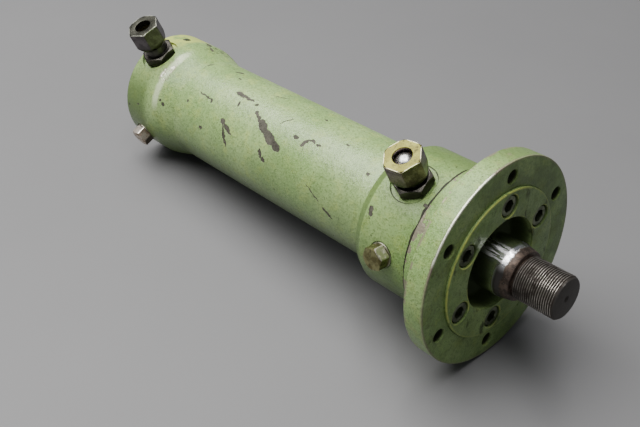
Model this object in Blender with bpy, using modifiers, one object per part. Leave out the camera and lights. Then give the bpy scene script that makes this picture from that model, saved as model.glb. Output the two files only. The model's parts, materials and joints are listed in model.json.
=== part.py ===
"""Hydraulic cylinder with a round front flange, as the separate pieces it comes apart into.

Metres. +X runs along the cylinder's axis towards the rod end, and +Z is up. The origin is the
centre of the flange's front face. The ports lean towards -Y, as the cylinder lies.
"""
import math

import bmesh
import bpy

# Fits and resolution
GAP = 0.0003
MAIN_STEPS = 32
SMALL_STEPS = 20
HOLE_SIDES = 16
MERGE = 0.00001

# Stations along the axis, from the rod end to the rear
ROD_END = 0.064
COVER_FACE = 0.002
FLANGE_BACK = -0.019
COVER_SEAT = -0.014
HUB_BACK = -0.0424
HEAD_SHOULDER = -0.0432
GUIDE_FRONT = -0.032
GUIDE_BACK = -0.058
FRONT_PORT = -0.0695
BARREL_FRONT = -0.083
HEAD_GROOVE = -0.090
HEAD_CHAMFER = -0.094
HEAD_BACK = -0.103
PISTON_FRONT = -0.3713
CAP_FRONT = -0.375
CAP_KNEE = -0.388
CAP_GROOVE = -0.407
CAP_TAPER_END = -0.407
BARREL_BACK = -0.418
GRUB_STATION = -0.432
REAR_PORT = -0.4325
CAP_FLOOR = -0.441
REAR_FACE = -0.456

# Radii about the axis
BORE = 0.040
BARREL_OUTER = 0.0525
ROD = 0.024
ROD_THREAD = 0.0188
ROD_SPIGOT = 0.016
FLANGE_OUTER = 0.0925
HUB_OUTER = 0.067
SPIGOT = 0.062
COVER_OUTER = 0.0668
COVER_NOSE = 0.045
COVER_RECESS = 0.0413
HEAD_OUTER = 0.065
HEAD_CAVITY = 0.036
HEAD_BACK_OUTER = 0.0604
CAP_OUTER = 0.0606
CAP_FRONT_OUTER = 0.0535
CAP_KNEE_OUTER = 0.0552
CAP_REAR_OUTER = 0.056
CAP_REAR_CHAMFER = 0.005
CAP_CAVITY = 0.034

# Seal grooves that hold an O-ring and the ring behind it
GROOVE_WIDTH = 0.0053
BARREL_GROOVE = 0.0553
GUIDE_GROOVE = 0.042

# Flange holes and cover screws, at the same six angles
BOLT_COUNT = 6
BOLT_START = math.radians(30)
FLANGE_HOLE = 0.0062
FLANGE_HOLE_CIRCLE = 0.0784
SCREW_CIRCLE = 0.0533
SCREW_SHANK = 0.0057
SCREW_HEAD = 0.009
SCREW_HEAD_HEIGHT = 0.007
SCREW_SINK = 0.0012
SCREW_LENGTH = 0.028
SCREW_SOCKET_FLATS = 0.010
COUNTERBORE = 0.010

# Where the ports, bleed screws and grub screw point: angles from +Z towards -Y
PORT_LEAN = math.radians(25)
CAP_TURN = math.radians(-2)
FRONT_BLEED_LEAN = PORT_LEAN + math.radians(60)
REAR_PORT_LEAN = PORT_LEAN + CAP_TURN
REAR_BLEED_LEAN = REAR_PORT_LEAN + math.radians(93)
GRUB_LEAN = PORT_LEAN + math.radians(-37)

# Tube fittings, heights measured out from the cylinder's axis
FRONT_SPOT = 0.0615
REAR_SPOT = 0.0550
SPOT_RADIUS = 0.020
FRONT_NUT_TOP = 0.0982
REAR_NUT_TOP = 0.0985
NUT_LENGTH = 0.024
NUT_FLATS = 0.030
NUT_THREAD = 0.0123
NUT_HOLE = 0.0082
NUT_FOOT = 0.0138
NUT_FOOT_HEIGHT = 0.006
NUT_EDGE = 0.0012
BODY_FLATS = 0.031
BODY_HEX_HEIGHT = 0.008
BODY_EDGE = 0.0008
BODY_NECK = 0.0117
BODY_BORE = 0.006
STUD = 0.0102
STUD_LENGTH = 0.0125
STUD_HOLE = 0.0105
PORT_SEAL_OUTER = 0.0155
PORT_SEAL_HEIGHT = 0.0017
PLUG_RADIUS = 0.0077
PLUG_DOME = 0.0056

# How far the hexagons are turned: angles of a corner from the cylinder's axis
FRONT_NUT_TURN = math.radians(7)
REAR_NUT_TURN = math.radians(24)
BODY_TURN = math.radians(35)
FRONT_BLEED_TURN = math.radians(20)
REAR_BLEED_TURN = math.radians(5)

# Bleed screws and grub screw
FRONT_BLEED_SPOT = 0.0634
REAR_BLEED_SPOT = 0.0583
BLEED_SPOT_RADIUS = 0.012
BLEED_FLATS = 0.019
BLEED_HEAD_HEIGHT = 0.0103
BLEED_WASHER = 0.011
BLEED_SHANK = 0.005
BLEED_DEPTH = 0.013
BLEED_PASSAGE = 0.0018
GRUB_RADIUS = 0.004
GRUB_LENGTH = 0.009

# Finish of each kind of surface: colour, roughness, metallic
FINISHES = {
    "green_paint": ((0.33, 0.45, 0.22), 0.45, 0.0),
    "chrome": ((0.80, 0.80, 0.80), 0.12, 1.0),
    "machined_steel": ((0.52, 0.51, 0.49), 0.38, 1.0),
    "black_steel": ((0.06, 0.06, 0.055), 0.45, 0.8),
    "zinc_steel": ((0.55, 0.50, 0.32), 0.35, 0.9),
    "cast_iron": ((0.22, 0.22, 0.22), 0.6, 0.7),
    "bronze": ((0.60, 0.42, 0.20), 0.4, 0.9),
    "black_rubber": ((0.02, 0.02, 0.02), 0.6, 0.0),
    "blue_seal": ((0.05, 0.12, 0.35), 0.5, 0.0),
    "brown_ptfe": ((0.28, 0.17, 0.10), 0.5, 0.0),
    "white_ptfe": ((0.85, 0.85, 0.82), 0.5, 0.0),
}


def clear_scene():
    for obj in list(bpy.data.objects):
        bpy.data.objects.remove(obj, do_unlink=True)


def new_collection(name):
    collection = bpy.data.collections.new(name)
    bpy.context.scene.collection.children.link(collection)
    return collection


def frame(name, station, turn):
    """An empty that parts are built on: its Z is the part's own axis."""
    empty = bpy.data.objects.new(name, None)
    empty.location = (station, 0.0, 0.0)
    empty.rotation_euler = turn
    empty.empty_display_size = 0.03
    PARTS.objects.link(empty)
    return empty


def radial_frame(name, station, lean):
    """A frame whose Z leaves the cylinder's axis, leaning from +Z towards -Y."""
    return frame(name, station, (lean, 0.0, 0.0))


def surface(name, finish):
    colour, roughness, metallic = FINISHES[finish]
    made = bpy.data.materials.new(name + "_" + finish)
    made.use_nodes = True
    shader = made.node_tree.nodes["Principled BSDF"]
    shader.inputs["Base Color"].default_value = (*colour, 1.0)
    shader.inputs["Roughness"].default_value = roughness
    shader.inputs["Metallic"].default_value = metallic
    made.diffuse_color = (*colour, 1.0)
    return made


def turned(name, outline, finish, parent, steps=MAIN_STEPS):
    """A body of revolution about its parent's Z, from (radius, height) points.

    The outline runs down the outer side. One that starts on the axis is a solid and is left
    open there. Any other is a ring, and returns up its inner side.
    """
    points = [(radius, 0.0, height) for radius, height in outline]
    edges = [(i, i + 1) for i in range(len(points) - 1)]
    if outline[0][0] > 0.0:
        edges.append((len(points) - 1, 0))
    mesh = bpy.data.meshes.new(name)
    mesh.from_pydata(points, edges, [])
    mesh.materials.append(surface(name, finish))
    obj = bpy.data.objects.new(name, mesh)
    obj.parent = parent
    PARTS.objects.link(obj)
    screw = obj.modifiers.new("turn", "SCREW")
    screw.axis = "Z"
    screw.steps = steps
    screw.render_steps = steps
    screw.use_merge_vertices = True
    screw.merge_threshold = MERGE
    return obj


def cutter(name, radius, low, high, parent, place=(0.0, 0.0), sides=HOLE_SIDES):
    """A cylinder or prism along its parent's Z from low to high, for a Boolean."""
    shape = bmesh.new()
    bmesh.ops.create_cone(
        shape, cap_ends=True, segments=sides, radius1=radius, radius2=radius, depth=high - low
    )
    mesh = bpy.data.meshes.new(name)
    shape.to_mesh(mesh)
    shape.free()
    obj = bpy.data.objects.new(name, mesh)
    obj.parent = parent
    obj.location = (place[0], place[1], (low + high) / 2)
    obj.hide_render = True
    obj.display_type = "WIRE"
    CUTTERS.objects.link(obj)
    return obj


def hexagon(name, flats, low, high, parent, turn=0.0):
    """A hexagonal prism with one corner at the angle `turn` from its parent's X."""
    prism = cutter(name, flats / math.sqrt(3), low, high, parent, sides=6)
    prism.rotation_euler = (0.0, 0.0, turn - math.pi / 2)
    return prism


def combine(obj, tool, operation):
    boolean = obj.modifiers.new(tool.name, "BOOLEAN")
    boolean.object = tool
    boolean.operation = operation
    boolean.solver = "EXACT"


def cut(obj, *tools):
    for tool in tools:
        combine(obj, tool, "DIFFERENCE")


def bolt_places(radius):
    """The six bolt places, in the main frame, whose X points down and Y stays Y."""
    angles = [PORT_LEAN + BOLT_START + i * math.tau / BOLT_COUNT for i in range(BOLT_COUNT)]
    return [(-radius * math.cos(angle), -radius * math.sin(angle)) for angle in angles]


def smooth_meshes():
    """Replace each part's modifiers by their result, shaded smooth up to its sharp edges."""
    depsgraph = bpy.context.evaluated_depsgraph_get()
    meshes = {}
    for obj in PARTS.objects:
        if obj.type == "MESH":
            meshes[obj] = bpy.data.meshes.new_from_object(obj.evaluated_get(depsgraph))
    for obj, mesh in meshes.items():
        mesh.name = obj.name
        mesh.shade_smooth()
        mesh.set_sharp_from_angle(angle=math.radians(30))
        obj.modifiers.clear()
        obj.data = mesh


def ring(name, inner, outer, low, high, finish):
    """A plain square-section ring on the main axis."""
    outline = [(outer, high), (outer, low), (inner, low), (inner, high)]
    return turned(name, outline, finish, MAIN)


def barrel():
    outline = [
        (BARREL_OUTER, BARREL_FRONT),
        (BARREL_OUTER, BARREL_BACK),
        (BORE, BARREL_BACK),
        (BORE, BARREL_FRONT),
    ]
    turned("barrel_tube", outline, "green_paint", MAIN)


def seal_pair(prefix, inner, outer, front):
    """An O-ring and the harder ring behind it, in a groove whose front wall is at `front`."""
    backup_low = front - GAP - 0.0016
    seal_high = backup_low - GAP
    seal_low = seal_high - 0.0028
    ring(prefix + "_backup_ring", inner, outer, backup_low, front - GAP, "white_ptfe")
    ring(prefix + "_o_ring", inner, outer, seal_low, seal_high, "black_rubber")


def port_cuts(name, obj, port, spot, cavity):
    """The spot face, the threaded hole and the oil passage of one port."""
    above = spot + 0.025
    stud_floor = spot - STUD_LENGTH - 0.001
    cut(
        obj,
        cutter(name + "_spot_face", SPOT_RADIUS, spot, above, port, sides=MAIN_STEPS),
        cutter(name + "_thread_hole", STUD_HOLE, stud_floor, above, port, sides=SMALL_STEPS),
        cutter(name + "_passage", BODY_BORE, cavity - 0.010, stud_floor + 0.001, port),
    )


def bleed_cuts(name, obj, place, spot, cavity):
    above = spot + 0.015
    floor = spot - BLEED_DEPTH - 0.001
    cut(
        obj,
        cutter(name + "_spot_face", BLEED_SPOT_RADIUS, spot, above, place, sides=SMALL_STEPS),
        cutter(name + "_hole", BLEED_SHANK + GAP, floor, above, place),
        cutter(name + "_passage", BLEED_PASSAGE, cavity - 0.006, floor + 0.001, place, sides=12),
    )


def rear_cap():
    outline = [
        (0.0, CAP_FLOOR),
        (CAP_CAVITY, CAP_FLOOR),
        (CAP_CAVITY, BARREL_BACK - GAP),
        (BARREL_OUTER + GAP, BARREL_BACK - GAP),
        (BARREL_OUTER + GAP, CAP_GROOVE - GROOVE_WIDTH),
        (BARREL_GROOVE, CAP_GROOVE - GROOVE_WIDTH),
        (BARREL_GROOVE, CAP_GROOVE),
        (BARREL_OUTER + GAP, CAP_GROOVE),
        (BARREL_OUTER + GAP, CAP_FRONT),
        (CAP_FRONT_OUTER, CAP_FRONT),
        (CAP_KNEE_OUTER, CAP_KNEE),
        (CAP_OUTER, CAP_TAPER_END),
        (CAP_OUTER, REAR_FACE + CAP_REAR_CHAMFER),
        (CAP_REAR_OUTER, REAR_FACE),
        (0.0, REAR_FACE),
    ]
    cap = turned("rear_cap", outline, "green_paint", MAIN)
    port_cuts("rear_port", cap, REAR_PORT_AXIS, REAR_SPOT, CAP_CAVITY)
    bleed_cuts("rear_bleed", cap, REAR_BLEED_AXIS, REAR_BLEED_SPOT, CAP_CAVITY)
    grub_floor = CAP_OUTER - GRUB_LENGTH - 2 * GAP
    hole = cutter("grub_hole", GRUB_RADIUS + GAP, grub_floor, CAP_OUTER + 0.01, GRUB_AXIS)
    cut(cap, hole)
    seal_pair("rear_cap", BARREL_OUTER + GAP, BARREL_GROOVE - GAP, CAP_GROOVE)


def front_head():
    outline = [
        (SPIGOT, COVER_SEAT - GAP),
        (SPIGOT, HEAD_SHOULDER),
        (HEAD_OUTER, HEAD_SHOULDER),
        (HEAD_OUTER, HEAD_CHAMFER),
        (HEAD_BACK_OUTER, HEAD_BACK),
        (BARREL_OUTER + GAP, HEAD_BACK),
        (BARREL_OUTER + GAP, HEAD_GROOVE - GROOVE_WIDTH),
        (BARREL_GROOVE, HEAD_GROOVE - GROOVE_WIDTH),
        (BARREL_GROOVE, HEAD_GROOVE),
        (BARREL_OUTER + GAP, HEAD_GROOVE),
        (BARREL_OUTER + GAP, BARREL_FRONT + GAP),
        (HEAD_CAVITY, BARREL_FRONT + GAP),
        (HEAD_CAVITY, GUIDE_BACK - GAP),
        (COVER_NOSE + GAP, GUIDE_BACK - GAP),
        (COVER_NOSE + GAP, COVER_SEAT - GAP),
    ]
    head = turned("front_head", outline, "green_paint", MAIN)
    port_cuts("front_port", head, FRONT_PORT_AXIS, FRONT_SPOT, HEAD_CAVITY)
    bleed_cuts("front_bleed", head, FRONT_BLEED_AXIS, FRONT_BLEED_SPOT, HEAD_CAVITY)
    screw_tip = COVER_FACE - SCREW_SINK - SCREW_HEAD_HEIGHT - SCREW_LENGTH
    for number, place in enumerate(bolt_places(SCREW_CIRCLE), start=1):
        name = f"tapped_hole_{number}"
        hole = cutter(name, SCREW_SHANK + GAP, screw_tip - 0.002, COVER_FACE, MAIN, place)
        cut(head, hole)
    seal_pair("front_head", BARREL_OUTER + GAP, BARREL_GROOVE - GAP, HEAD_GROOVE)


def mounting_flange():
    edge = 0.0008
    outline = [
        (FLANGE_OUTER - edge, 0.0),
        (FLANGE_OUTER, -edge),
        (FLANGE_OUTER, FLANGE_BACK + edge),
        (FLANGE_OUTER - edge, FLANGE_BACK),
        (HUB_OUTER, FLANGE_BACK),
        (HUB_OUTER, HUB_BACK + edge),
        (HUB_OUTER - edge, HUB_BACK),
        (SPIGOT + GAP, HUB_BACK),
        (SPIGOT + GAP, COVER_SEAT - GAP),
        (COVER_OUTER + GAP, COVER_SEAT - GAP),
        (COVER_OUTER + GAP, 0.0),
    ]
    flange = turned("mounting_flange", outline, "green_paint", MAIN)
    for number, place in enumerate(bolt_places(FLANGE_HOLE_CIRCLE), start=1):
        name = f"flange_hole_{number}"
        hole = cutter(name, FLANGE_HOLE, FLANGE_BACK - 0.005, 0.005, MAIN, place, SMALL_STEPS)
        cut(flange, hole)


def gland_cover():
    edge = 0.0008
    seat = COVER_FACE - SCREW_SINK - SCREW_HEAD_HEIGHT - GAP
    outline = [
        (COVER_OUTER - edge, COVER_FACE),
        (COVER_OUTER, COVER_FACE - edge),
        (COVER_OUTER, COVER_SEAT),
        (COVER_NOSE, COVER_SEAT),
        (COVER_NOSE, GUIDE_FRONT),
        (0.027, GUIDE_FRONT),
        (0.027, -0.027),
        (0.036, -0.024),
        (COVER_RECESS, -0.020),
        (COVER_RECESS, COVER_FACE - edge),
        (COVER_RECESS + edge, COVER_FACE),
    ]
    cover = turned("gland_cover", outline, "green_paint", MAIN)
    for number, place in enumerate(bolt_places(SCREW_CIRCLE), start=1):
        name = f"counterbore_{number}"
        cut(cover, cutter(name, COUNTERBORE, seat, 0.010, MAIN, place, SMALL_STEPS))
        name = f"clearance_hole_{number}"
        cut(cover, cutter(name, SCREW_SHANK + 0.0008, -0.020, seat + 0.001, MAIN, place))


def cover_screws():
    """Six cap screws with hexagon sockets, sunk a little below the cover's face."""
    top = COVER_FACE - SCREW_SINK
    seat = top - SCREW_HEAD_HEIGHT
    edge = 0.0006
    outline = [
        (0.0, top),
        (SCREW_HEAD - edge, top),
        (SCREW_HEAD, top - edge),
        (SCREW_HEAD, seat),
        (SCREW_SHANK, seat),
        (SCREW_SHANK, seat - SCREW_LENGTH + edge),
        (SCREW_SHANK - edge, seat - SCREW_LENGTH),
        (0.0, seat - SCREW_LENGTH),
    ]
    for number, (x, y) in enumerate(bolt_places(SCREW_CIRCLE), start=1):
        name = f"cover_screw_{number}"
        screw = turned(name, outline, "black_steel", MAIN, HOLE_SIDES)
        screw.location = (x, y, 0.0)
        socket = hexagon(name + "_socket", SCREW_SOCKET_FLATS, top - 0.0045, top + 0.003, screw)
        cut(screw, socket)


def rod_guide():
    """The guide bush with its rod seal, wiper, outer O-ring and the ring behind that."""
    front = GUIDE_FRONT - GAP
    seal_front = -0.043
    seal_back = -0.050
    seal_groove = 0.030
    wiper_back = -0.038
    outer_groove_front = -0.042
    running = ROD + GAP
    outline = [
        (COVER_NOSE, front),
        (COVER_NOSE, outer_groove_front),
        (GUIDE_GROOVE, outer_groove_front),
        (GUIDE_GROOVE, outer_groove_front - GROOVE_WIDTH),
        (COVER_NOSE, outer_groove_front - GROOVE_WIDTH),
        (COVER_NOSE, GUIDE_BACK),
        (running, GUIDE_BACK),
        (running, seal_back),
        (seal_groove, seal_back),
        (seal_groove, seal_front),
        (running, seal_front),
        (running, wiper_back),
        (seal_groove, wiper_back),
        (seal_groove, front),
    ]
    turned("rod_guide_bush", outline, "bronze", MAIN)
    ring("rod_seal", running, seal_groove - GAP, seal_back + GAP, seal_front - GAP, "blue_seal")
    wiper = [
        (seal_groove - GAP, front),
        (seal_groove - GAP, wiper_back + GAP),
        (running, wiper_back + GAP),
        (running, front + 0.002),
        (running + 0.001, front + 0.002),
        (running + 0.0022, front),
    ]
    turned("wiper_ring", wiper, "black_rubber", MAIN)
    seal_pair("rod_guide", GUIDE_GROOVE + GAP, COVER_NOSE, outer_groove_front)


def piston_rod():
    """The chromed rod, its threaded end and the spigot that carries the piston."""
    shoulder = 0.025
    outline = [
        (0.0, ROD_END - 0.0035),
        (0.0025, ROD_END),
        (ROD_THREAD - 0.0016, ROD_END),
        (ROD_THREAD, ROD_END - 0.0016),
        (ROD_THREAD, 0.0275),
        (ROD_THREAD - 0.0013, 0.0265),
        (ROD_THREAD - 0.0013, shoulder),
        (0.0218, shoulder),
        (0.0230, 0.018),
        (ROD, 0.014),
        (ROD, PISTON_FRONT + GAP),
        (ROD_SPIGOT, PISTON_FRONT + GAP),
        (ROD_SPIGOT, BARREL_BACK - 0.016),
        (ROD_SPIGOT - 0.001, BARREL_BACK - 0.017),
        (0.0, BARREL_BACK - 0.017),
    ]
    turned("piston_rod", outline, "chrome", MAIN)


def piston():
    """The piston with its seal on a soft ring, two wear rings, O-ring and lock nut."""
    outer = BORE - 0.0004
    back = BARREL_BACK + GAP
    wear_groove = 0.037
    seal_groove = 0.0335
    wear_front = (-0.384, -0.375)
    seal_room = (-0.397, -0.389)
    wear_rear = (-0.411, -0.402)
    bore = ROD_SPIGOT + GAP
    static_groove = 0.0188
    static_room = (-0.3965, -0.392)
    outline = [(outer, PISTON_FRONT)]
    grooves = ((wear_front, wear_groove), (seal_room, seal_groove), (wear_rear, wear_groove))
    for (low, high), depth in grooves:
        outline += [(outer, high), (depth, high), (depth, low), (outer, low)]
    outline += [(outer, back), (bore, back), (bore, static_room[0])]
    outline += [(static_groove, static_room[0]), (static_groove, static_room[1])]
    outline += [(bore, static_room[1]), (bore, PISTON_FRONT)]
    turned("piston", outline, "cast_iron", MAIN)
    rings = (
        ("piston_wear_ring_front", wear_groove, outer, wear_front, "brown_ptfe"),
        ("piston_wear_ring_rear", wear_groove, outer, wear_rear, "brown_ptfe"),
        ("piston_energiser_ring", seal_groove, 0.0366, seal_room, "black_rubber"),
        ("piston_seal", 0.0366, outer, seal_room, "blue_seal"),
        ("piston_o_ring", bore - GAP, static_groove, static_room, "black_rubber"),
    )
    for name, inner, outside, (low, high), finish in rings:
        face = outside if outside == outer else outside - GAP
        ring(name, inner + GAP, face, low + GAP, high - GAP, finish)
    lock_nut(back - GAP)


def lock_nut(top):
    flats = 0.050
    height = 0.014
    corner = flats / math.sqrt(3)
    edge = 0.002
    bore = ROD_SPIGOT + GAP
    outline = [
        (corner - edge, top),
        (corner, top - edge),
        (corner, top - height + edge),
        (corner - edge, top - height),
        (bore, top - height),
        (bore, top),
    ]
    nut = turned("piston_nut", outline, "machined_steel", MAIN)
    combine(nut, hexagon("piston_nut_flats", flats, top - 0.02, top + 0.01, MAIN), "INTERSECT")


def fitting(prefix, port, spot, nut_top, nut_turn, finish):
    """A cone fitting in a port: seal, body, cutting ring and union nut."""
    seal_low = spot + GAP
    seal_high = seal_low + PORT_SEAL_HEIGHT
    inner = STUD + GAP
    outline = [
        (PORT_SEAL_OUTER, seal_high),
        (PORT_SEAL_OUTER, seal_low),
        (inner, seal_low),
        (inner, seal_high),
    ]
    turned(prefix + "_port_seal", outline, "black_steel", port, SMALL_STEPS)

    hex_low = seal_high + GAP
    hex_high = hex_low + BODY_HEX_HEIGHT
    nut_low = nut_top - NUT_LENGTH
    body_top = nut_low + 0.011
    corner = BODY_FLATS / math.sqrt(3)
    outline = [
        (BODY_NECK, body_top),
        (BODY_NECK, hex_high),
        (corner - BODY_EDGE, hex_high),
        (corner, hex_high - BODY_EDGE),
        (corner, hex_low + BODY_EDGE),
        (corner - BODY_EDGE, hex_low),
        (STUD, hex_low),
        (STUD, spot - STUD_LENGTH),
        (BODY_BORE, spot - STUD_LENGTH),
        (BODY_BORE, body_top),
    ]
    body = turned(prefix + "_fitting_body", outline, "black_steel", port, SMALL_STEPS)
    flats = hexagon(prefix + "_body_flats", BODY_FLATS, 0.03, 0.12, port, BODY_TURN)
    combine(body, flats, "INTERSECT")

    collar_low = body_top + GAP
    outline = [
        (0.0090, nut_low + 0.0176),
        (0.0118, nut_low + 0.0148),
        (0.0118, collar_low),
        (NUT_HOLE, collar_low),
        (NUT_HOLE, nut_low + 0.0176),
    ]
    turned(prefix + "_cutting_ring", outline, "zinc_steel", port, SMALL_STEPS)

    corner = NUT_FLATS / math.sqrt(3)
    outline = [
        (corner - NUT_EDGE, nut_top),
        (corner, nut_top - NUT_EDGE),
        (corner, nut_low + NUT_FOOT_HEIGHT),
        (NUT_FOOT, nut_low),
        (NUT_THREAD, nut_low),
        (NUT_THREAD, nut_low + 0.015),
        (NUT_HOLE, nut_low + 0.0191),
        (NUT_HOLE, nut_top),
    ]
    nut = turned(prefix + "_union_nut", outline, finish, port, SMALL_STEPS)
    flats = hexagon(prefix + "_nut_flats", NUT_FLATS, 0.05, 0.12, port, nut_turn)
    combine(nut, flats, "INTERSECT")


def blanking_plug():
    """The plug with a domed nose that closes the front fitting's cone."""
    nut_low = FRONT_NUT_TOP - NUT_LENGTH
    shoulder = nut_low + 0.0114
    dome_low = nut_low + 0.017
    arc = [math.radians(90 - 22.5 * i) for i in range(5)]
    outline = [(PLUG_RADIUS * math.cos(a), dome_low + PLUG_DOME * math.sin(a)) for a in arc]
    outline[0] = (0.0, dome_low + PLUG_DOME)
    outline += [(PLUG_RADIUS, shoulder), (BODY_BORE - GAP, shoulder)]
    outline += [(BODY_BORE - GAP, shoulder - 0.008), (0.0, shoulder - 0.008)]
    turned("front_blanking_plug", outline, "machined_steel", FRONT_PORT_AXIS, SMALL_STEPS)


def bleed_screw(prefix, place, spot, turn):
    """A hexagon-headed bleed screw on its washer."""
    washer_low = spot + GAP
    washer_high = washer_low + 0.0015
    inner = BLEED_SHANK + GAP
    outline = [
        (BLEED_WASHER, washer_high),
        (BLEED_WASHER, washer_low),
        (inner, washer_low),
        (inner, washer_high),
    ]
    turned(prefix + "_bleed_washer", outline, "zinc_steel", place, SMALL_STEPS)
    low = washer_high + GAP
    high = low + BLEED_HEAD_HEIGHT
    corner = BLEED_FLATS / math.sqrt(3)
    edge = 0.0012
    outline = [
        (0.0, high),
        (corner - edge, high),
        (corner, high - edge),
        (corner, low),
        (BLEED_SHANK, low),
        (BLEED_SHANK, spot - BLEED_DEPTH + 0.002),
        (BLEED_SHANK - 0.002, spot - BLEED_DEPTH),
        (0.0, spot - BLEED_DEPTH),
    ]
    screw = turned(prefix + "_bleed_screw", outline, "zinc_steel", place, SMALL_STEPS)
    flats = hexagon(prefix + "_bleed_flats", BLEED_FLATS, 0.03, 0.09, place, turn)
    combine(screw, flats, "INTERSECT")


def grub_screw():
    top = CAP_OUTER - GAP
    bottom = top - GRUB_LENGTH
    outline = [(0.0, top), (GRUB_RADIUS, top), (GRUB_RADIUS, bottom), (0.0, bottom)]
    screw = turned("rear_grub_screw", outline, "black_steel", GRUB_AXIS, HOLE_SIDES)
    cut(screw, hexagon("grub_socket", 0.004, top - 0.003, top + 0.002, GRUB_AXIS))


clear_scene()
PARTS = new_collection("hydraulic_cylinder")
CUTTERS = new_collection("cutters")
MAIN = frame("main_axis", 0.0, (0.0, math.pi / 2, 0.0))
FRONT_PORT_AXIS = radial_frame("front_port_axis", FRONT_PORT, PORT_LEAN)
REAR_PORT_AXIS = radial_frame("rear_port_axis", REAR_PORT, REAR_PORT_LEAN)
FRONT_BLEED_AXIS = radial_frame("front_bleed_axis", FRONT_PORT, FRONT_BLEED_LEAN)
REAR_BLEED_AXIS = radial_frame("rear_bleed_axis", REAR_PORT, REAR_BLEED_LEAN)
GRUB_AXIS = radial_frame("grub_axis", GRUB_STATION, GRUB_LEAN)

barrel()
rear_cap()
front_head()
mounting_flange()
gland_cover()
cover_screws()
rod_guide()
piston_rod()
piston()
fitting("front", FRONT_PORT_AXIS, FRONT_SPOT, FRONT_NUT_TOP, FRONT_NUT_TURN, "zinc_steel")
fitting("rear", REAR_PORT_AXIS, REAR_SPOT, REAR_NUT_TOP, REAR_NUT_TURN, "black_steel")
blanking_plug()
bleed_screw("front", FRONT_BLEED_AXIS, FRONT_BLEED_SPOT, FRONT_BLEED_TURN)
bleed_screw("rear", REAR_BLEED_AXIS, REAR_BLEED_SPOT, REAR_BLEED_TURN)
grub_screw()
smooth_meshes()
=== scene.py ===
"""The looks of the hydraulic cylinder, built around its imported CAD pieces. Metres."""
import json
import math
from functools import reduce

import bmesh
import bpy
from mathutils import Matrix, Vector


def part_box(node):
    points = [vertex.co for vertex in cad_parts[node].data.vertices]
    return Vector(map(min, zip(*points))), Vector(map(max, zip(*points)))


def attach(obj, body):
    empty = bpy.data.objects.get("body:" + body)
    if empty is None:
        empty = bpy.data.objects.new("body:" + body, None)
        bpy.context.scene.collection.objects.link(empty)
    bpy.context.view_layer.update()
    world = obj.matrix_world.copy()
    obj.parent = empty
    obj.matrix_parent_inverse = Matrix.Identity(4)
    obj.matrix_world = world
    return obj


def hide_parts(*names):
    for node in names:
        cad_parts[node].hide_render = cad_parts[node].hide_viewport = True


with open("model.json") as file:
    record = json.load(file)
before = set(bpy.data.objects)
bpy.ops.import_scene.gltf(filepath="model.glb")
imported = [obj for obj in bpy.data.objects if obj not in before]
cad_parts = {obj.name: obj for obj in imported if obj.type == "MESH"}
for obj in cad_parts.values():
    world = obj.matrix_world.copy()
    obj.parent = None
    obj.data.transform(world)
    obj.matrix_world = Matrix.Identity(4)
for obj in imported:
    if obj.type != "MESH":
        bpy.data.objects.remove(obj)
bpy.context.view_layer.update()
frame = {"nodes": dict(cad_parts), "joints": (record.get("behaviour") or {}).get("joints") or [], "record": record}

# Resolution
FULL_STEPS = 192
SMALL_STEPS = 72
HOLE_STEPS = 48
ROUND_STEPS = 3
THREAD_STEPS = 128
GAP = 0.0003

# Stations and radii of the pieces on the cylinder's axis, from the frame
FLANGE_LOW, FLANGE_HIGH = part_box("mounting_flange")
COVER_LOW, COVER_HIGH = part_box("gland_cover")
HEAD_LOW, HEAD_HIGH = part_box("front_head")
BARREL_LOW, BARREL_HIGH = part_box("barrel_tube")
CAP_LOW, CAP_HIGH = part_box("rear_cap")
ROD_LOW, ROD_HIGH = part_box("piston_rod")
FLANGE_OUTER = FLANGE_HIGH.z
COVER_OUTER = COVER_HIGH.z
HEAD_OUTER = 0.065
CAP_OUTER = CAP_HIGH.z
BARREL_OUTER = BARREL_HIGH.z
ROD = 0.024

# Shapes that the frame's boxes don't give
FLANGE_BACK = FLANGE_HIGH.x - 0.019
HUB_OUTER = 0.067
SPIGOT = 0.062
HEAD_SHOULDER = FLANGE_LOW.x - 0.0008
COVER_SEAT = -0.014
COVER_BORE = 0.027
COVER_RECESS = 0.0413
COVER_NOSE = 0.045
CHAMFER_START = -0.094
CHAMFER_RIM = 0.0604
HEAD_STEP = -0.0583
HEAD_BORE = 0.036
HEAD_GROOVE = -0.090
CAP_GROOVE = -0.407
GROOVE_WIDTH = 0.0053
GROOVE_OUTER = 0.0553
CAP_TAPER_END = -0.407
CAP_KNEE = -0.388
CAP_KNEE_OUTER = 0.0552
CAP_END_OUTER = 0.0560
CAP_CAVITY = 0.034
CAP_FLOOR = -0.441
BORE = 0.040
FLANGE_HOLE = 0.0062
FLANGE_HOLE_CIRCLE = 0.0784
SCREW_CIRCLE = 0.0533
COUNTERBORE = 0.010
SCREW_HEAD = 0.009
SCREW_SHANK = 0.0057
SCREW_CLEARANCE = 0.0065
TAPPED_FLOOR = -0.0362
ROD_SPIGOT = 0.016
ROD_SHOULDER = -0.371
THREAD_RADIUS = 0.0188
THREAD_DEPTH = 0.0011
THREAD_PITCH = 0.002
THREAD_START = 0.0272

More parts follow.
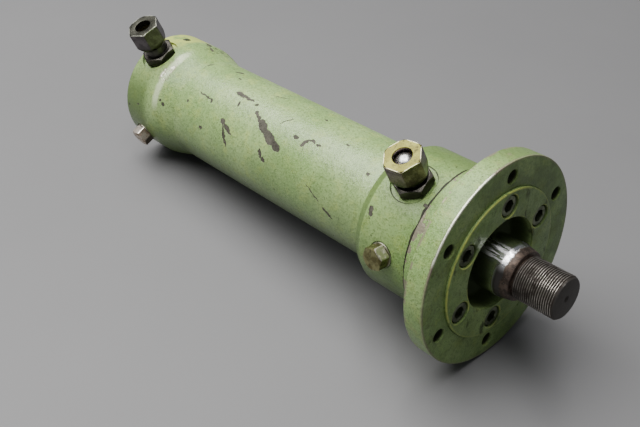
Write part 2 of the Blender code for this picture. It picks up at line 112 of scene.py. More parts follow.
# Tube fittings, bleed screws and grub screw: heights measured out from the cylinder's axis
SPOT_FACE = 0.020
PORT_HOLE = 0.0105
PASSAGE = 0.006
SEAL_OUTER = 0.0155
BLEED_SPOT_FACE = 0.012
NUT_FLATS = 0.030
NUT_LENGTH = 0.024
NUT_HOLE = 0.0082
NUT_FOOT = 0.0138
NUT_BORE = 0.0123
BODY_FLATS = 0.031
BODY_HEX = 0.008
BODY_NECK = 0.0117
BODY_STUD = 0.0102
BODY_TURN = math.radians(35)
BLEED_FLATS = 0.019
BLEED_HEAD = 0.0103
BLEED_HOLE = 0.0053
WASHER_OUTER = 0.011
PLUG = 0.0077
PLUG_DOME = 0.0056
PLUG_TAIL = 0.0057
GRUB_RADIUS = 0.004
GRUB_LENGTH = 0.009
FRONT_SPOT = 0.0615
REAR_SPOT = 0.0550
FRONT_NUT_TOP = 0.0982
REAR_NUT_TOP = 0.0985
FRONT_BLEED_SPOT = 0.0634
REAR_BLEED_SPOT = 0.0583
FRONT_NUT_TURN = math.radians(7)
REAR_NUT_TURN = math.radians(24)
FRONT_BLEED_TURN = math.radians(20)
REAR_BLEED_TURN = math.radians(5)

# Camera and floor
CAMERA_PLACE = (0.3311, -0.4826, 0.4451)
CAMERA_TURN = (55.48, 1.88, 47.21)
CAMERA_LENS = 50.43
FLOOR_FRONT = (FLANGE_BACK + 0.001, FLANGE_LOW.z)
FLOOR_REAR = (CAP_LOW.x + 0.005, CAP_LOW.z)

# Linear colours
GREEN = (0.188, 0.315, 0.094)
GREEN_PALE = (0.305, 0.435, 0.168)
# Darker green for fine speckles, and the colour that painted shade darkens the paint towards
GREEN_DARK = (0.080, 0.130, 0.034)
YELLOW_GREEN = (0.40, 0.47, 0.08)
# Bright green: yellowish paint showing on the cap, and the painted highlight on the cover's edges
BRIGHT_GREEN = (0.43, 0.50, 0.12)
# Pale green of the painted highlight on the cap's taper
HIGHLIGHT_GREEN = (0.60, 0.70, 0.44)
PRIMER = (0.058, 0.055, 0.041)
PRIMER_PALE = (0.090, 0.084, 0.065)
PRIMER_DARK = (0.034, 0.031, 0.023)
RUBBED = (0.270, 0.215, 0.178)
# Dirt, and also the colour of painted shade in holes and recesses
GRIME_AND_SHADE = (0.022, 0.022, 0.012)
BARE = (0.70, 0.73, 0.58)


def axis_frame(origin, along, across):
    """A matrix whose Z is `along` and whose X is `across`."""
    z = Vector(along).normalized()
    x = (Vector(across) - z * z.dot(Vector(across))).normalized()
    y = z.cross(x)
    turn = Matrix((x, y, z)).transposed().to_4x4()
    return Matrix.Translation(Vector(origin)) @ turn


def radial_frame(name):
    """The frame of a piece that turns about a radial axis: Z leaves the cylinder's axis."""
    joint = next(joint for joint in frame["joints"] if joint["name"] == name)
    return axis_frame(joint["pos_m"], joint["axis"], (1, 0, 0))


def box_centre(node):
    low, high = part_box(node)
    return (low + high) / 2


FRONT_PORT = radial_frame("front_nut_turn")
REAR_PORT = radial_frame("rear_nut_turn")
FRONT_BLEED = radial_frame("front_bleed_turn")
REAR_BLEED = radial_frame("rear_bleed_turn")
MAIN = axis_frame((0, 0, 0), (1, 0, 0), (0, 0, 1))
PORT_LEAN = math.atan2(-FRONT_PORT.col[2].y, FRONT_PORT.col[2].z)
GRUB_CENTRE = box_centre("rear_grub_screw")
GRUB = axis_frame((GRUB_CENTRE.x, 0, 0), (0, GRUB_CENTRE.y, GRUB_CENTRE.z), (1, 0, 0))
BOLT_ANGLES = []
for number in range(1, 7):
    offset = MAIN.inverted() @ box_centre(f"cover_screw_{number}")
    BOLT_ANGLES.append(math.atan2(offset.y, offset.x))


# Meshes


def rounded(outline):
    """Corners (x, y, rounding) as points, with each rounding a short curve."""
    points = []
    for i, (x, y, size) in enumerate(outline):
        here = Vector((x, y))
        if size == 0:
            points.append(here)
            continue
        before = Vector(outline[i - 1][:2])
        after = Vector(outline[(i + 1) % len(outline)][:2])
        start = here + (before - here).normalized() * size
        end = here + (after - here).normalized() * size
        for k in range(ROUND_STEPS + 1):
            t = k / ROUND_STEPS
            points.append(start * (1 - t) ** 2 + here * 2 * t * (1 - t) + end * t * t)
    return points


def closed_mesh(shape, name):
    """The finished mesh of a bmesh, with its normals outward."""
    bmesh.ops.recalc_face_normals(shape, faces=shape.faces)
    mesh = bpy.data.meshes.new(name)
    shape.to_mesh(mesh)
    shape.free()
    return mesh


def turned_mesh(name, points, steps, relief=None):
    """A closed mesh of revolution about Z from (radius, height) points.

    A first and a last point on the axis make a solid, and any other outline closes as a ring.
    """
    shape = bmesh.new()
    rows = []
    for radius, height in points:
        if radius < 1e-7:
            rows.append([shape.verts.new((0, 0, height))] * steps)
            continue
        row = []
        for j in range(steps):
            angle = math.tau * j / steps
            r = relief(radius, height, angle) if relief else radius
            row.append(shape.verts.new((r * math.cos(angle), r * math.sin(angle), height)))
        rows.append(row)
    solid = points[0][0] < 1e-7
    pairs = list(zip(rows, rows[1:]))
    if not solid:
        pairs.append((rows[-1], rows[0]))
    for upper, lower in pairs:
        for j in range(steps):
            k = (j + 1) % steps
            corners = list(dict.fromkeys((upper[j], lower[j], lower[k], upper[k])))
            if len(corners) > 2:
                shape.faces.new(corners)
    return closed_mesh(shape, name)


def placed(name, mesh, place):
    obj = bpy.data.objects.new(name, mesh)
    obj.matrix_world = place
    bpy.context.scene.collection.objects.link(obj)
    return obj


def turned(name, outline, place, steps=FULL_STEPS):
    return placed(name, turned_mesh(name, rounded(outline), steps), place)


def on_circle(angle, radius):
    return (radius * math.cos(angle), radius * math.sin(angle))


def prism(name, flats, low, high, place, turn=0.0, rounding=0.0006):
    """A hexagonal bar with slightly rounded corners."""
    shape = bmesh.new()
    corners = [on_circle(turn + math.tau * i / 6, flats / math.sqrt(3)) for i in range(6)]
    points = rounded([(x, y, rounding) for x, y in corners])
    bottom = [shape.verts.new((p.x, p.y, low)) for p in points]
    top = [shape.verts.new((p.x, p.y, high)) for p in points]
    shape.faces.new(bottom)
    shape.faces.new(top)
    for i in range(len(points)):
        k = (i + 1) % len(points)
        shape.faces.new((bottom[i], bottom[k], top[k], top[i]))
    return placed(name, closed_mesh(shape, name), place)


def combine(obj, tools, operation="DIFFERENCE"):
    """Apply Booleans to the object's mesh, and remove the tools."""
    for tool in tools:
        boolean = obj.modifiers.new(tool.name, "BOOLEAN")
        boolean.object = tool
        boolean.operation = operation
        boolean.solver = "EXACT"
    bpy.context.view_layer.update()
    depsgraph = bpy.context.evaluated_depsgraph_get()
    mesh = bpy.data.meshes.new_from_object(obj.evaluated_get(depsgraph))
    obj.modifiers.clear()
    obj.data = mesh
    for tool in tools:
        bpy.data.objects.remove(tool)


def paint_over(obj, material):
    obj.data.materials.clear()
    obj.data.materials.append(material)


def stand_for(obj, node, material, body="cylinder", sharp=32):
    """Show a finished piece in place of its plain node."""
    paint_over(obj, material)
    obj.data.shade_smooth()
    obj.data.set_sharp_from_angle(angle=math.radians(sharp))
    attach(obj, body)
    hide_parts(node)


def hole(name, radius, low, high, place, offset=(0, 0), lip=0.0, lip_at=None):
    """A cutter for a round hole. A lip opens its mouth at height `lip_at` by a small chamfer."""
    wall = [(radius, high, 0)]
    if lip:
        wall = [
            (radius, lip_at - lip, 0),
            (radius + lip, lip_at, 0),
            (radius + lip + high - lip_at, high, 0),
        ]
    outline = [(0, low, 0), (radius, low, 0), *wall, (0, high, 0)]
    return turned(name, outline, place @ Matrix.Translation((*offset, 0)), HOLE_STEPS)


def bolt_holes(name, circle, radius, low, high, lip=0.0, lip_at=None):
    """Cutters for six holes at the screws' angles."""
    return [
        hole(f"{name}_{number}", radius, low, high, MAIN, on_circle(angle, circle), lip, lip_at)
        for number, angle in enumerate(BOLT_ANGLES, start=1)
    ]


# Materials


def link(value, socket):
    """Feed a socket from another one, or with a constant."""
    if isinstance(value, bpy.types.NodeSocket):
        socket.id_data.links.new(value, socket)
    elif isinstance(value, tuple) and len(value) == 3 and len(socket.default_value) == 4:
        socket.default_value = (*value, 1.0)
    else:
        socket.default_value = value


def feed(node, **values):
    """Link or set a node's inputs by name, with _ for a space."""
    for name, value in values.items():
        link(value, node.inputs[name.replace("_", " ")])


def node_for(kind, *values):
    """A new node in the tree that the first socket among the values belongs to."""
    tree = next(value.id_data for value in values if isinstance(value, bpy.types.NodeSocket))
    return tree.nodes.new("ShaderNode" + kind)


def arithmetic(operation, *values):
    node = node_for("Math", *values)
    node.operation = operation
    for socket, value in zip(node.inputs, values):
        link(value, socket)
    return node.outputs[0]


def plus(a, b):
    return arithmetic("ADD", a, b)


def minus(a, b):
    return arithmetic("SUBTRACT", a, b)


def product(*values):
    return reduce(lambda a, b: arithmetic("MULTIPLY", a, b), values)


def highest(*values):
    return reduce(lambda a, b: arithmetic("MAXIMUM", a, b), values)


def lowest(*values):
    return reduce(lambda a, b: arithmetic("MINIMUM", a, b), values)


def smooth(value, low, high):
    """0 below low and 1 above high, or the other way round if low is the larger."""
    node = node_for("MapRange", value)
    node.interpolation_type = "SMOOTHSTEP"
    feed(node, Value=value, From_Min=min(low, high), From_Max=max(low, high))
    feed(node, To_Min=float(low > high), To_Max=float(low <= high))
    return node.outputs["Result"]


def band(value, centre, half, soft):
    """1 within half of centre, falling to 0 over soft."""
    return smooth(arithmetic("ABSOLUTE", minus(value, centre)), half + soft, half)


def vector(operation, a, b=(0, 0, 0), scale=1.0):
    node = node_for("VectorMath", a)
    node.operation = operation
    link(a, node.inputs[0])
    link(b, node.inputs[1])
    if operation == "SCALE":
        link(scale, node.inputs["Scale"])
    return node.outputs["Value"] if operation in ("LENGTH", "DOT_PRODUCT") else node.outputs[0]


def dot(a, b):
    return vector("DOT_PRODUCT", a, b)


def join(x, y):
    node = node_for("CombineXYZ", x, y)
    feed(node, X=x, Y=y)
    return node.outputs[0]


def distance(x, y):
    return vector("LENGTH", join(x, y))


def mix(factor, a, b):
    """A colour that goes from a to b."""
    node = node_for("Mix", factor)
    node.data_type = "RGBA"
    for number, value in ((0, factor), (6, a), (7, b)):
        link(value, node.inputs[number])
    return node.outputs[2]


def blend(factor, a, b):
    """A number that goes from a to b."""
    node = node_for("Mix", factor)
    for number, value in ((0, factor), (2, a), (3, b)):
        link(value, node.inputs[number])
    return node.outputs[0]


def bump(height, distance, strength, below=None):
    node = node_for("Bump", height)
    feed(node, Height=height, Distance=distance, Strength=strength)
    if below is not None:
        feed(node, Normal=below)
    return node.outputs["Normal"]


class Finish:
    """A material under construction, with the places and patterns that its colours follow."""

    def __init__(self, name):
        self.material = bpy.data.materials.new(name)
        self.material.use_nodes = True
        self.tree = self.material.node_tree
        self.shader = self.tree.nodes["Principled BSDF"]
        self.place = self.tree.nodes.new("ShaderNodeTexCoord").outputs["Object"]
        split = self.tree.nodes.new("ShaderNodeSeparateXYZ")
        link(self.place, split.inputs[0])
        self.x, self.y, self.z = split.outputs

    def noise(self, scale, detail=4.0, rough=0.6, where=None, output="Fac"):
        node = self.tree.nodes.new("ShaderNodeTexNoise")
        feed(node, Vector=where or self.place, Scale=scale, Detail=detail, Roughness=rough)
        return node.outputs[output]

    def streaks(self, x, y, z, detail=3.0, rough=0.6):
        """Noise with its own scale on each axis."""
        return self.noise(1.0, detail, rough, where=vector("MULTIPLY", self.place, (x, y, z)))

    def radius(self):
        return distance(self.x, self.y)

    def angle(self):
        """Angle about the cylinder's axis from the ports' side, in radians."""
        cosine = math.cos(PORT_LEAN)
        sine = math.sin(PORT_LEAN)
        forward = dot(self.place, (cosine, sine, 0))
        return arithmetic("ARCTAN2", dot(self.place, (-sine, cosine, 0)), forward)

    def side(self, centre, half, soft):
        """1 on the part of the round surface within half of the angle centre, in degrees."""
        return band(self.angle(), math.radians(centre), math.radians(half), math.radians(soft))

    def nearest_hole(self, circle):
        """Distance to the nearest of six hole centres on a circle, all at the screws' angles."""
        centres = [on_circle(angle, circle) for angle in BOLT_ANGLES]
        return lowest(*(distance(minus(self.x, x), minus(self.y, y)) for x, y in centres))

    def hexagon_reach(self, turn):
        """Distance from the axis measured squarely to the nearest flat of a hexagon."""
        leans = [turn + math.radians(30 + 60 * i) for i in range(3)]
        across = [dot(self.place, (*on_circle(lean, 1), 0)) for lean in leans]
        return highest(*(arithmetic("ABSOLUTE", reach) for reach in across))

    def done(self, colour, rough, metallic, normal=None):
        feed(self.shader, Base_Color=colour, Roughness=rough, Metallic=metallic)
        if normal is not None:
            feed(self.shader, Normal=normal)
        return self.material


def spots(finish, marks, radius):
    """The nearest of some oval marks on a round surface, as a squared distance with edges at 1.

    Each mark is (station, angle, length, width, slant), in millimetres and degrees. Its angle is
    measured from the ports' side, and its slant from the cylinder's axis.
    """
    around = product(finish.angle(), radius)
    wander = finish.noise(170, output="Color")
    shift = vector("SCALE", vector("SUBTRACT", wander, (0.5, 0.5, 0.5)), scale=0.0062)
    flat = vector("ADD", join(finish.z, around), vector("MULTIPLY", shift, (1, 1, 0)))
    flat = vector("ADD", flat, (0, 0, 1))
    squares = []
    for station, angle, length, width, slant in marks:
        x = station / 1000
        y = math.radians(angle) * radius
        cosine = math.cos(math.radians(slant))
        sine = math.sin(math.radians(slant))
        half_long = length / 2000
        half_wide = width / 2000
        along = dot(flat, (cosine / half_long, sine / half_long, -(cosine * x + sine * y) / half_long))
        side = dot(flat, (-sine / half_wide, cosine / half_wide, (sine * x - cosine * y) / half_wide))
        squares.append(arithmetic("MULTIPLY_ADD", along, along, product(side, side)))
    return lowest(*squares)


def painted(name, marks=(), radius=BARREL_OUTER, bare=None, bright=None, dark=None, shade=None,
            gloss_and_highlight=None, sheen=0.28):
    """Old green paint. The masks say where it is bare, rubbed bright, grimy, darker or glossy. The darker mask is
    mostly painted shade; the grimy, bright and bare masks carry painted shade and painted highlights in places;
    the glossy mask also pales the paint as a painted highlight.

    Where the bare mask is full, bright metal shows, and where it is less, rubbed primer.
    """
    finish = Finish(name)
    broad = finish.noise(16, 3.0, 0.55)
    middle = finish.noise(75)
    fine = finish.noise(520, 3.0)
    pebble = finish.noise(290, 2.0, 0.5)
    colour = mix(smooth(broad, 0.36, 0.66), GREEN, GREEN_PALE)
    layers = (
        (middle, 0.48, 0.70, 0.38, YELLOW_GREEN),
        (fine, 0.50, 0.64, 0.58, GREEN_DARK),
        (pebble, 0.50, 0.62, 0.36, GREEN_DARK),
        (finish.noise(1150, 2.0, 0.5), 0.46, 0.62, 0.70, GREEN_PALE),
    )
    for pattern, low, high, share, tint in layers:
        colour = mix(product(smooth(pattern, low, high), share), colour, tint)
    # Painted shade: the shade mask darkens the paint towards the darker green.
    if shade is not None:
        colour = mix(shade(finish), colour, GREEN_DARK)
    # Dirt in patches and dots; the dark mask adds more dirt and, in holes and recesses, painted shade.
    dirt_and_shade = product(smooth(finish.noise(130, 5.0, 0.7), 0.60, 0.78), 0.6)
    dots = product(smooth(finish.noise(420, 2.0, 0.5), 0.68, 0.76), 0.65)
    dirt_and_shade = highest(dirt_and_shade, dots)
    if dark is not None:
        dirt_and_shade = highest(dirt_and_shade, dark(finish))
    colour = mix(dirt_and_shade, colour, GRIME_AND_SHADE)
    # The bright mask: rubbed paint, and on the cover's edges also a painted highlight.
    if bright is not None:
        colour = mix(bright(finish), colour, BRIGHT_GREEN)
    # The gloss mask smooths the paint and pales it as a painted highlight.
    if gloss_and_highlight is not None:
        polish_and_highlight = gloss_and_highlight(finish)
        colour = mix(product(polish_and_highlight, 0.75), colour, HIGHLIGHT_GREEN)
    metal_mask = 0.0
    # The bare mask: bare metal, and on the flange's front edge also a painted highlight.
    if bare is not None:
        metal_mask = bare(finish)
        bare_colour = mix(smooth(metal_mask, 0.84, 0.94), RUBBED, BARE)
        colour = mix(metal_mask, colour, bare_colour)
    chip = smooth(finish.noise(95, 5.0, 0.65), 0.735, 0.75)
    if marks:
        away = spots(finish, marks, radius)
        chip = highest(chip, smooth(away, 1.12, 0.88))
    chip_colour = mix(smooth(middle, 0.4, 0.6), PRIMER, PRIMER_PALE)
    chip_colour = mix(smooth(fine, 0.5, 0.7), chip_colour, PRIMER_DARK)
    colour = mix(chip, colour, chip_colour)
    rough = blend(smooth(middle, 0.3, 0.7), 0.27, 0.40)
    if gloss_and_highlight is not None:
        rough = blend(polish_and_highlight, rough, 0.20)
    rough = blend(dirt_and_shade, rough, 0.62)
    rough = blend(chip, rough, 0.60)
    metallic = 0.0
    if bare is not None:
        rough = blend(metal_mask, rough, 0.38)
        metallic = product(metal_mask, 0.45)
    coat = minus(1.0, highest(chip, metal_mask))
    feed(finish.shader, Specular_IOR_Level=blend(chip, sheen, 0.2))
    normal = bump(fine, 0.00030, 0.9)
    normal = bump(pebble, 0.00032, 0.6, normal)
    normal = bump(middle, 0.0006, 0.35, normal)
    normal = bump(coat, 0.00016, 1.0, normal)
    return finish.done(colour, rough, metallic, normal)


def metal(name, colours, rough, stained=0.5):
    """Plain or plated metal: two tones, fine grain and stains in patches."""
    finish = Finish(name)
    broad = finish.noise(140)
    fine = finish.noise(900, 3.0)
    colour = mix(smooth(broad, 0.38, 0.62), *colours)
    patches = product(smooth(finish.noise(260, 5.0, 0.7), 0.52, 0.70), stained)
    colour = mix(patches, colour, (0.030, 0.020, 0.012))
    roughness = blend(smooth(fine, 0.3, 0.7), *rough)
    roughness = blend(patches, roughness, 0.65)
    metallic = blend(patches, 1.0, 0.5)
    normal = bump(fine, 0.00006, 0.5)
    normal = bump(broad, 0.0002, 0.3, normal)
    return finish.done(colour, roughness, metallic, normal)


def nut_metal(name, end, flats, line, top, turn):
    """A union nut: a brushed end face, darker dirty flats and a bright line along its edges, partly rubbed metal
    and partly a painted highlight.
    """
    finish = Finish(name)
    broad = finish.noise(120)
    fine = finish.noise(900, 3.0)
    below = smooth(finish.z, top - 0.0006, top - 0.0013)
    # The bright line along the top edges: in part a painted highlight.
    rim = product(
        smooth(finish.hexagon_reach(turn), NUT_FLATS / 2 - 0.0005, NUT_FLATS / 2 - 0.0002),
        smooth(finish.z, top - 0.0009, top - 0.0006),
    )
    end_colour = mix(smooth(broad, 0.38, 0.62), *end)
    flat_colour = mix(smooth(broad, 0.42, 0.60), *flats)
    foot = smooth(finish.z, top - 0.017, top - 0.021)
    flat_colour = mix(foot, flat_colour, GRIME_AND_SHADE)
    colour = mix(below, end_colour, flat_colour)
    patches = product(smooth(finish.noise(260, 5.0, 0.7), 0.54, 0.70), 0.6)
    colour = mix(patches, colour, (0.028, 0.022, 0.012))
    colour = mix(rim, colour, line)
    rough = blend(smooth(fine, 0.3, 0.7), 0.26, 0.40)
    rough = blend(patches, rough, 0.6)
    rough = blend(rim, rough, 0.36)
    metallic = blend(rim, blend(patches, 1.0, 0.5), 0.7)
    normal = bump(fine, 0.00006, 0.5)
    normal = bump(broad, 0.0002, 0.3, normal)
    return finish.done(colour, rough, metallic, normal)


def bleed_metal(name, colours, stain, worn_and_lit, turn, spot):
    """A bleed screw: stained plating, with one flat bright as a painted highlight, partly rubbed, and a bright
    edge.
    """
    finish = Finish(name)
    broad = finish.noise(140)
    fine = finish.noise(900, 3.0)
    colour = mix(smooth(broad, 0.40, 0.60), *colours)
    patches = smooth(finish.noise(300, 5.0, 0.7), 0.50, 0.62)
    colour = mix(product(patches, 0.65), colour, stain)
    # The flat that faces the light gets a painted highlight, partly rubbed metal.
    lean = turn + math.radians(worn_and_lit)
    flat = dot(finish.place, (*on_circle(lean, 1), 0))
    head = smooth(finish.z, spot + 0.0022, spot + 0.0026)
    rubbed = product(smooth(flat, BLEED_FLATS / 2 - 0.0009, BLEED_FLATS / 2 - 0.0003), head)
    colour = mix(product(rubbed, 0.75), colour, (0.74, 0.68, 0.60))
    washer = smooth(finish.z, spot + 0.0022, spot + 0.0019)
    colour = mix(product(washer, 0.7), colour, (0.52, 0.52, 0.42))
    rough = blend(smooth(fine, 0.3, 0.7), 0.26, 0.42)
    rough = blend(patches, rough, 0.58)
    rough = blend(rubbed, rough, 0.34)
    normal = bump(fine, 0.00008, 0.6)
    normal = bump(broad, 0.0003, 0.4, normal)
    return finish.done(colour, rough, blend(patches, 1.0, 0.6), normal)


def matt(name, colours):
    """Rubber or plastic."""
    finish = Finish(name)
    grain = finish.noise(900, 3.0)
    colour = mix(smooth(grain, 0.35, 0.65), *colours)
    roughness = blend(grain, 0.5, 0.7)
    return finish.done(colour, roughness, 0.0, bump(grain, 0.00004, 0.5))


def chromed_rod():
    """Mirror chrome, a rusty shoulder, a dirty thread with rubbed crests and a dark end. Before the shoulder the
    chrome is tarnished and darkened away from the light as painted shade, and a rubbed ring on the rust is bright
    only on the lit side, as a painted highlight.
    """
    finish = Finish("chromed_rod")
    station = finish.z
    reach = finish.radius()
    lines = finish.streaks(60, 60, 5200)
    patch = finish.noise(210, 5.0, 0.7)
    fine = finish.noise(1300, 3.0)
    ragged = plus(station, product(minus(patch, 0.5), 0.006))
    chrome = mix(smooth(lines, 0.3, 0.7), (0.80, 0.80, 0.82), (0.68, 0.68, 0.69))
    rust = mix(smooth(patch, 0.42, 0.62), (0.052, 0.038, 0.030), (0.125, 0.090, 0.070))
    rust = mix(smooth(fine, 0.58, 0.74), rust, (0.20, 0.175, 0.155))
    # lit: the side facing the light. The ring on the rust is bright only there, a painted highlight, and the
    # chrome before the shoulder darkens away from it, a painted shade.
    lit = finish.side(-12, 28, 24)
    worn_and_lit = product(band(station, 0.0165, 0.0006, 0.0008), smooth(patch, 0.40, 0.52), lit)
    tarnish_and_shade = product(smooth(station, 0.0095, 0.0135), minus(1.0, lit), 0.95)
    chrome = mix(tarnish_and_shade, chrome, (0.055, 0.047, 0.044))
    rust = mix(worn_and_lit, rust, (0.70, 0.68, 0.65))
    rusty = smooth(ragged, 0.0172, 0.0190)
    colour = mix(rusty, chrome, rust)
    thread = smooth(station, THREAD_START - 0.0015, THREAD_START - 0.0005)
    steel = mix(smooth(patch, 0.42, 0.66), (0.070, 0.060, 0.052), (0.038, 0.029, 0.024))
    crest = smooth(reach, THREAD_RADIUS - 0.00042, THREAD_RADIUS - 0.0001)
    toward_end = blend(smooth(station, 0.030, 0.052), 0.35, 1.0)
    rubbed = product(crest, smooth(finish.noise(120), 0.32, 0.58), toward_end)
    steel = mix(rubbed, steel, (0.52, 0.485, 0.44))
    end = smooth(station, ROD_HIGH.x - 0.0013, ROD_HIGH.x - 0.0008)
    steel = mix(end, steel, mix(patch, (0.050, 0.046, 0.043), (0.090, 0.083, 0.076)))
    colour = mix(thread, colour, steel)
    smear = product(smooth(finish.noise(90, 5.0, 0.7), 0.58, 0.75), 0.5)
    rough = blend(smooth(lines, 0.3, 0.7), 0.12, 0.19)
    rough = blend(smear, rough, 0.38)
    streaks = smooth(finish.streaks(420, 420, 60), 0.36, 0.60)
    frosted = product(band(finish.angle(), 0.06, 0.18, 0.24), streaks)
    rough = blend(frosted, rough, 0.46)
    rough = blend(tarnish_and_shade, rough, 0.48)
    rough = blend(rusty, rough, 0.46)
    rough = blend(thread, rough, blend(rubbed, 0.55, 0.28))
    metallic = blend(rusty, 1.0, 0.65)
    metallic = blend(thread, metallic, blend(rubbed, 0.7, 1.0))
    normal = bump(lines, 0.000012, 0.6)
    normal = bump(product(patch, rusty), 0.0004, 0.6, normal)
    return finish.done(colour, rough, metallic, normal)


# Marks in the tube's paint: station, angle, length, width, slant
TUBE_MARKS = (
    (-340, -37, 10, 3.2, -28),
    (-327, -26, 4, 2.6, 40),
    (-304, -7, 16, 5.0, 4),
    (-291, -6, 15, 3.4, -3),
    (-277, -4, 4.5, 3.2, -50),
    (-296, 5, 6, 2.6, 70),
    (-265, 7, 17, 3.6, 32),
    (-252, 14, 18, 8.5, 30),
    (-238, 21, 20, 9.5, 24),
    (-226, 26, 15, 7.6, 22),
    (-303, 29, 8, 6.0, 20),
    (-296, 41, 24, 4.0, 58),
    (-293, 34, 17, 3.8, 28),
    (-242, 40, 9, 4.4, 60),
    (-236, 44, 6, 4.6, 20),
    (-211, 8, 6, 4.6, 0),
    (-198, 9, 11, 4.0, -60),
    (-191, 4, 8, 3.0, 0),
    (-183, 5, 6, 2.4, 10),
    (-166, 50, 22, 1.5, 26),
    (-146, 61, 15, 2.4, 26),
    (-342, 13, 20, 1.4, 6),
    (-331, 15, 6, 3.4, 50),
    (-159, -10, 4, 2.8, 0),
    (-203, -27, 4, 2.6, 0),
    (-233, -3, 14, 1.2, -50),
    (-268, -28, 22, 1.0, -22),
    (-361, 27, 3.4, 2.6, 0),
    (-331, 47, 5, 3.4, 30),
    (-376, -22, 16, 2.0, -72),
    (-120, 8, 4, 3.0, 0),
    (-285, 150, 30, 6.0, 15),
    (-210, -120, 26, 7.0, -20),
    (-150, 170, 14, 5.0, 40),
    (-340, -150, 18, 6.0, 10),
    (-170, 115, 12, 4.0, -30),
    (-300, -95, 16, 4.0, 25),
)
HEAD_MARKS = (
    (-90, 33, 9, 5.5, 70),
    (-47, 12, 5, 3.0, 40),
    (-84, -60, 10, 4.0, 20),
    (-60, 160, 14, 6.0, 10),
    (-76, -140, 9, 5.0, 60),
)
CAP_MARKS = (
    (-392, 43, 5, 3.6, 50),
    (-396, 40, 3, 2.4, 0),
    (-413, -51, 15, 5.0, 20),
    (-400, -46, 9, 3.6, 10),
    (-452, 30, 14, 2.4, 88),
    (-453, 47, 9, 2.0, 88),
    (-430, 55, 4, 2.2, 0),
    (-446, 60, 4, 2.6, 30),
    (-440, 170, 20, 7.0, 30),
    (-425, -110, 12, 5.0, 70),
)


def underside_shade(finish, radius):
    """Painted shade: darker paint below."""
    return product(smooth(finish.x, radius * 0.10, -radius * 0.60), 0.9)


def far_top_shade(finish):
    """Painted shade: darker paint on the upper side away from the ports."""
    return product(finish.side(-68, 30, 30), 0.70)


def tube_shade(finish):
    # Darker patches at random, and painted shade below.
    patches = product(smooth(finish.noise(9, 2.0, 0.55), 0.5, 0.75), 0.35)
    return highest(patches, underside_shade(finish, BARREL_OUTER))


def flange_bare_and_highlight(finish):
    """Bare metal on the flange's front edge, stronger on its lit side as a painted highlight, and rubbed patches
    on its rim and hub.
    """
    reach = finish.radius()
    ragged = finish.noise(150, 4.0, 0.65)
    outward = smooth(plus(reach, product(ragged, 0.0008)), FLANGE_OUTER - 0.0013, FLANGE_OUTER - 0.0007)
    station = plus(finish.z, product(ragged, 0.0020))
    forward = smooth(station, FLANGE_HIGH.x - 0.0012, FLANGE_HIGH.x - 0.0002)
    # The front edge is brightest on the side facing the light: a painted highlight over bare metal.
    edge = product(outward, forward, blend(finish.side(12, 18, 30), 0.40, 1.0))
    rim = smooth(reach, FLANGE_OUTER - 0.002, FLANGE_OUTER - 0.001)
    back = product(rim, band(finish.z, FLANGE_BACK + 0.001, 0.0006, 0.0012), smooth(ragged, 0.48, 0.56), 0.7)
    width = product(minus(finish.noise(60), 0.50), 0.036)
    width = plus(width, product(finish.side(19, 8, 5), 0.0048))
    width = plus(width, product(finish.side(76, 8, 5), 0.0034))
    near_joint = smooth(minus(plus(FLANGE_LOW.x, width), finish.z), 0.0, 0.0008)
    hub_patch = product(smooth(reach, HUB_OUTER + 0.002, HUB_OUTER + 0.001), near_joint, 0.85)
    rim_patch = product(rim, smooth(finish.noise(75, 5.0, 0.7), 0.58, 0.68), 0.38)
    return highest(edge, back, hub_patch, rim_patch)


def flange_face(finish):
    return smooth(finish.z, FLANGE_HIGH.x - 0.0012, FLANGE_HIGH.x - 0.0004)


def flange_shade(finish):
    """Painted shade: the front face is darker than the rim, mottled and lighter a quarter turn from the ports, and
    the rim is darker on its far top.
    """
    face = flange_face(finish)
    mottle = smooth(finish.noise(42, 5.0, 0.65), 0.34, 0.66)
    lower = blend(finish.side(80, 60, 40), 1.0, 0.60)
    front = product(face, blend(mottle, 0.32, 0.84), lower)
    return highest(front, product(minus(1.0, face), far_top_shade(finish)))


def flange_dark(finish):
    """Grime on the front face's outer ring, painted shade in its holes, darker paint in the corner at the hub and
    a dark line at the joint.
    """
    streak = smooth(finish.noise(48, 5.0, 0.7), 0.50, 0.66)
    ring = product(smooth(finish.radius(), 0.078, 0.090), finish.side(75, 50, 30))
    near_hub = smooth(finish.radius(), HUB_OUTER + 0.004, HUB_OUTER)
    corner = product(band(finish.z, FLANGE_BACK, 0.0004, 0.0016), near_hub)
    joint = smooth(finish.z, FLANGE_LOW.x + 0.0006, FLANGE_LOW.x + 0.0002)
    # Painted shade inside the holes.
    holes = product(
        smooth(finish.nearest_hole(FLANGE_HOLE_CIRCLE), FLANGE_HOLE + 0.0007, FLANGE_HOLE + 0.0002),
        smooth(finish.z, FLANGE_HIGH.x - 0.0002, FLANGE_HIGH.x - 0.0030),
        0.93,
    )
    grime = product(flange_face(finish), streak, blend(ring, 0.22, 0.72))
    return highest(grime, corner, joint, holes)


